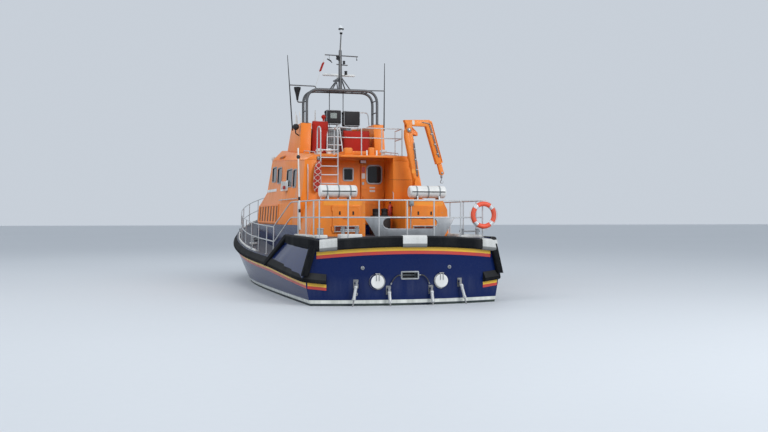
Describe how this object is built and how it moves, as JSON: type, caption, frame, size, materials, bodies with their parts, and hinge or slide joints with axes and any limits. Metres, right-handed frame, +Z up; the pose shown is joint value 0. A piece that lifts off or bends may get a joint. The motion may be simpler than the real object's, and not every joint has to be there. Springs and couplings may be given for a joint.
{
  "type": "all-weather lifeboat",
  "caption": "Self-righting all-weather lifeboat with a hard-chine hull, deckhouse, flybridge, mast arch, recovery crane and trim tabs.",
  "frame": {"origin": "on the centreline at the waterline, near the middle of the length", "axes": "+X to the bow, +Y to port, +Z up"},
  "size_m": [17.7256, 5.9, 10.05],
  "materials": {
    "navy_paint": "gloss",
    "fender_rubber": "matt",
    "orange_paint": "satin",
    "steel": "satin",
    "hose_rubber": "matt",
    "white_plastic": "gloss",
    "alloy": "satin",
    "lifebuoy_plastic": "matt",
    "black_plastic": "matt",
    "red_cover": "matt",
    "bronze": "satin",
    "antifouled_steel": "matt"
  },
  "bodies": {
    "boat": {"hull": "navy_paint", "gunwale_fender": "fender_rubber", "upper_fender": "fender_rubber", "ram_hose_port": "hose_rubber", "house_port": "orange_paint", "locker_port": "orange_paint", "life_raft_port": "white_plastic", "guardrail_port": "alloy", "ram_hose_starboard": "hose_rubber", "house_starboard": "orange_paint", "locker_starboard": "orange_paint", "life_raft_starboard": "white_plastic", "guardrail_starboard": "alloy", "house_front": "orange_paint", "house_aft": "orange_paint", "house_roof": "orange_paint", "stern_rail": "alloy", "roof_ladder": "alloy", "tow_frame": "alloy", "lifebuoy": "lifebuoy_plastic", "flybridge_coaming": "orange_paint", "helm_console": "black_plastic", "seat_port": "red_cover", "seat_starboard": "red_cover", "mast": "alloy", "crane_base": "orange_paint"},
    "propeller_port": {"propeller_port": "bronze"},
    "rudder_port": {"rudder_port": "antifouled_steel"},
    "propeller_starboard": {"propeller_starboard": "bronze"},
    "rudder_starboard": {"rudder_starboard": "antifouled_steel"},
    "trim_tab_port": {"trim_tab_port": "steel"},
    "tab_cylinder_outer_port": {"tab_cylinder_outer_port": "steel"},
    "tab_rod_outer_port": {"tab_rod_outer_port": "steel"},
    "tab_cylinder_inner_port": {"tab_cylinder_inner_port": "steel"},
    "tab_rod_inner_port": {"tab_rod_inner_port": "steel"},
    "trim_tab_starboard": {"trim_tab_starboard": "steel"},
    "tab_cylinder_outer_starboard": {"tab_cylinder_outer_starboard": "steel"},
    "tab_rod_outer_starboard": {"tab_rod_outer_starboard": "steel"},
    "tab_cylinder_inner_starboard": {"tab_cylinder_inner_starboard": "steel"},
    "tab_rod_inner_starboard": {"tab_rod_inner_starboard": "steel"},
    "exhaust_flap_port": {"exhaust_flap_port": "white_plastic"},
    "exhaust_flap_starboard": {"exhaust_flap_starboard": "white_plastic"},
    "cabin_door": {"cabin_door": "orange_paint"},
    "locker_door_port": {"locker_door_port": "orange_paint"},
    "locker_door_starboard": {"locker_door_starboard": "orange_paint"},
    "foredeck_hatch": {"foredeck_hatch": "white_plastic"},
    "radar_scanner": {"radar_scanner": "white_plastic"},
    "crane_column": {"crane_column": "orange_paint"},
    "crane_boom": {"crane_boom": "orange_paint"},
    "crane_jib": {"crane_jib": "orange_paint"},
    "crane_extension": {"crane_extension": "orange_paint"},
    "crane_luff_cylinder": {"crane_luff_cylinder": "steel"},
    "crane_luff_rod": {"crane_luff_rod": "steel"},
    "crane_fold_cylinder": {"crane_fold_cylinder": "steel"},
    "crane_fold_rod": {"crane_fold_rod": "steel"}
  },
  "joints": [
    {"name": "propeller_port_spin", "type": "hinge", "parent": "boat", "child": "propeller_port", "pos_m": [-7.05, 1.15, -0.98], "axis": [1, 0, 0], "continuous": true},
    {"name": "rudder_port_steer", "type": "hinge", "parent": "boat", "child": "rudder_port", "pos_m": [-7.78, 1.15, -0.6], "axis": [0, 0, 1], "range_deg": [-35, 35]},
    {"name": "propeller_starboard_spin", "type": "hinge", "parent": "boat", "child": "propeller_starboard", "pos_m": [-7.05, -1.15, -0.98], "axis": [1, 0, 0], "continuous": true},
    {"name": "rudder_starboard_steer", "type": "hinge", "parent": "boat", "child": "rudder_starboard", "pos_m": [-7.78, -1.15, -0.6], "axis": [0, 0, 1], "range_deg": [-35, 35]},
    {"name": "trim_tab_port_tilt", "type": "hinge", "parent": "boat", "child": "trim_tab_port", "pos_m": [-8.95947, 1.1, -0.33], "axis": [-0.1557, -0.9878, 0], "range_deg": [0, 15]},
    {"name": "tab_cylinder_outer_port_swing", "type": "hinge", "parent": "boat", "child": "tab_cylinder_outer_port", "pos_m": [-9.01944, 1.35, 0.56], "axis": [-0.9227, -0.3779, 0.0769], "range_deg": [0, 1.23]},
    {"name": "tab_rod_outer_port_slide", "type": "slide", "parent": "tab_cylinder_outer_port", "child": "tab_rod_outer_port", "axis": [-0.1659, 0.209, -0.9637], "range_m": [0, 0.072]},
    {"name": "tab_cylinder_inner_port_swing", "type": "hinge", "parent": "boat", "child": "tab_cylinder_inner_port", "pos_m": [-9.12833, 0.55, 0.4], "axis": [0.0871, -0.9959, -0.0234], "range_deg": [0, 1.17]},
    {"name": "tab_rod_inner_port_slide", "type": "slide", "parent": "tab_cylinder_inner_port", "child": "tab_rod_inner_port", "axis": [-0.2595, 0, -0.9658], "range_m": [0, 0.0705]},
    {"name": "trim_tab_starboard_tilt", "type": "hinge", "parent": "boat", "child": "trim_tab_starboard", "pos_m": [-8.95947, -1.1, -0.33], "axis": [0.1557, -0.9878, 0], "range_deg": [0, 15]},
    {"name": "tab_cylinder_outer_starboard_swing", "type": "hinge", "parent": "boat", "child": "tab_cylinder_outer_starboard", "pos_m": [-9.01944, -1.35, 0.56], "axis": [0.9227, -0.3779, -0.0769], "range_deg": [0, 1.23]},
    {"name": "tab_rod_outer_starboard_slide", "type": "slide", "parent": "tab_cylinder_outer_starboard", "child": "tab_rod_outer_starboard", "axis": [-0.1659, -0.209, -0.9637], "range_m": [0, 0.072]},
    {"name": "tab_cylinder_inner_starboard_swing", "type": "hinge", "parent": "boat", "child": "tab_cylinder_inner_starboard", "pos_m": [-9.12833, -0.55, 0.4], "axis": [-0.0871, -0.9959, 0.0234], "range_deg": [0, 1.17]},
    {"name": "tab_rod_inner_starboard_slide", "type": "slide", "parent": "tab_cylinder_inner_starboard", "child": "tab_rod_inner_starboard", "axis": [-0.2595, 0, -0.9658], "range_m": [0, 0.0705]},
    {"name": "exhaust_flap_port_swing", "type": "hinge", "parent": "boat", "child": "exhaust_flap_port", "pos_m": [-9.078, 0.83, 0.786], "axis": [0, 1, 0], "range_deg": [0, 60]},
    {"name": "exhaust_flap_starboard_swing", "type": "hinge", "parent": "boat", "child": "exhaust_flap_starboard", "pos_m": [-9.078, -0.83, 0.786], "axis": [0, 1, 0], "range_deg": [0, 60]},
    {"name": "cabin_door_swing", "type": "hinge", "parent": "boat", "child": "cabin_door", "pos_m": [-3.558, -0.912, 2.85], "axis": [0, 0, 1], "range_deg": [0, 90]},
    {"name": "locker_door_port_swing", "type": "hinge", "parent": "boat", "child": "locker_door_port", "pos_m": [-6.026, 1.268, 2.12], "axis": [0, 0, -1], "range_deg": [0, 110]},
    {"name": "locker_door_starboard_swing", "type": "hinge", "parent": "boat", "child": "locker_door_starboard", "pos_m": [-6.026, -1.808, 2.12], "axis": [0, 0, 1], "range_deg": [0, 110]},
    {"name": "foredeck_hatch_lift", "type": "hinge", "parent": "boat", "child": "foredeck_hatch", "pos_m": [4.205, 0, 1.889], "axis": [0, -1, 0], "range_deg": [0, 100]},
    {"name": "radar_scanner_spin", "type": "hinge", "parent": "boat", "child": "radar_scanner", "pos_m": [-1.03, -0.12, 6.72], "axis": [0, 0, 1], "continuous": true},
    {"name": "crane_slew", "type": "hinge", "parent": "boat", "child": "crane_column", "pos_m": [-5, -1.5, 2.9], "axis": [0, 0, 1], "range_deg": [-40, 40]},
    {"name": "crane_luff", "type": "hinge", "parent": "crane_column", "child": "crane_boom", "pos_m": [-5, -1.5, 3.23], "axis": [1, 0, 0], "range_deg": [0, 35]},
    {"name": "crane_fold", "type": "hinge", "parent": "crane_boom", "child": "crane_jib", "pos_m": [-5, -1.23, 4.7], "axis": [-1, 0, 0], "range_deg": [0, 85]},
    {"name": "crane_extend", "type": "slide", "parent": "crane_jib", "child": "crane_extension", "axis": [0, -0.2721, -0.9623], "range_m": [0, 0.3]},
    {"name": "crane_luff_cylinder_swing", "type": "hinge", "parent": "crane_column", "child": "crane_luff_cylinder", "pos_m": [-4.81, -1.7, 2.95], "axis": [1, 0, 0], "range_deg": [0, 21.2]},
    {"name": "crane_luff_rod_slide", "type": "slide", "parent": "crane_luff_cylinder", "child": "crane_luff_rod", "axis": [0, 0.3162, 0.9487], "range_m": [-0.0983, 0]},
    {"name": "crane_fold_cylinder_swing", "type": "hinge", "parent": "crane_boom", "child": "crane_fold_cylinder", "pos_m": [-4.81, -1.4, 3.95], "axis": [1, 0, 0], "range_deg": [-7.06, 0]},
    {"name": "crane_fold_rod_slide", "type": "slide", "parent": "crane_fold_cylinder", "child": "crane_fold_rod", "axis": [0, -0.0614, 0.9981], "range_m": [0, 0.3027]}
  ],
  "couplings": [
    {"joint": "rudder_starboard_steer", "follows": "rudder_port_steer", "ratio": 1},
    {"joint": "tab_cylinder_outer_port_swing", "follows": "trim_tab_port_tilt", "ratio": 0.0619},
    {"joint": "tab_rod_outer_port_slide", "follows": "trim_tab_port_tilt", "m_per_rad": 0.26749},
    {"joint": "tab_cylinder_inner_port_swing", "follows": "trim_tab_port_tilt", "ratio": 0.057993},
    {"joint": "tab_rod_inner_port_slide", "follows": "trim_tab_port_tilt", "m_per_rad": 0.26171},
    {"joint": "tab_cylinder_outer_starboard_swing", "follows": "trim_tab_starboard_tilt", "ratio": 0.0619},
    {"joint": "tab_rod_outer_starboard_slide", "follows": "trim_tab_starboard_tilt", "m_per_rad": 0.26749},
    {"joint": "tab_cylinder_inner_starboard_swing", "follows": "trim_tab_starboard_tilt", "ratio": 0.057993},
    {"joint": "tab_rod_inner_starboard_slide", "follows": "trim_tab_starboard_tilt", "m_per_rad": 0.26171},
    {"joint": "crane_luff_cylinder_swing", "follows": "crane_luff", "ratio": 0.59422},
    {"joint": "crane_luff_rod_slide", "follows": "crane_luff", "m_per_rad": -0.15764},
    {"joint": "crane_fold_cylinder_swing", "follows": "crane_fold", "ratio": -0.078325},
    {"joint": "crane_fold_rod_slide", "follows": "crane_fold", "m_per_rad": 0.20268}
  ]
}
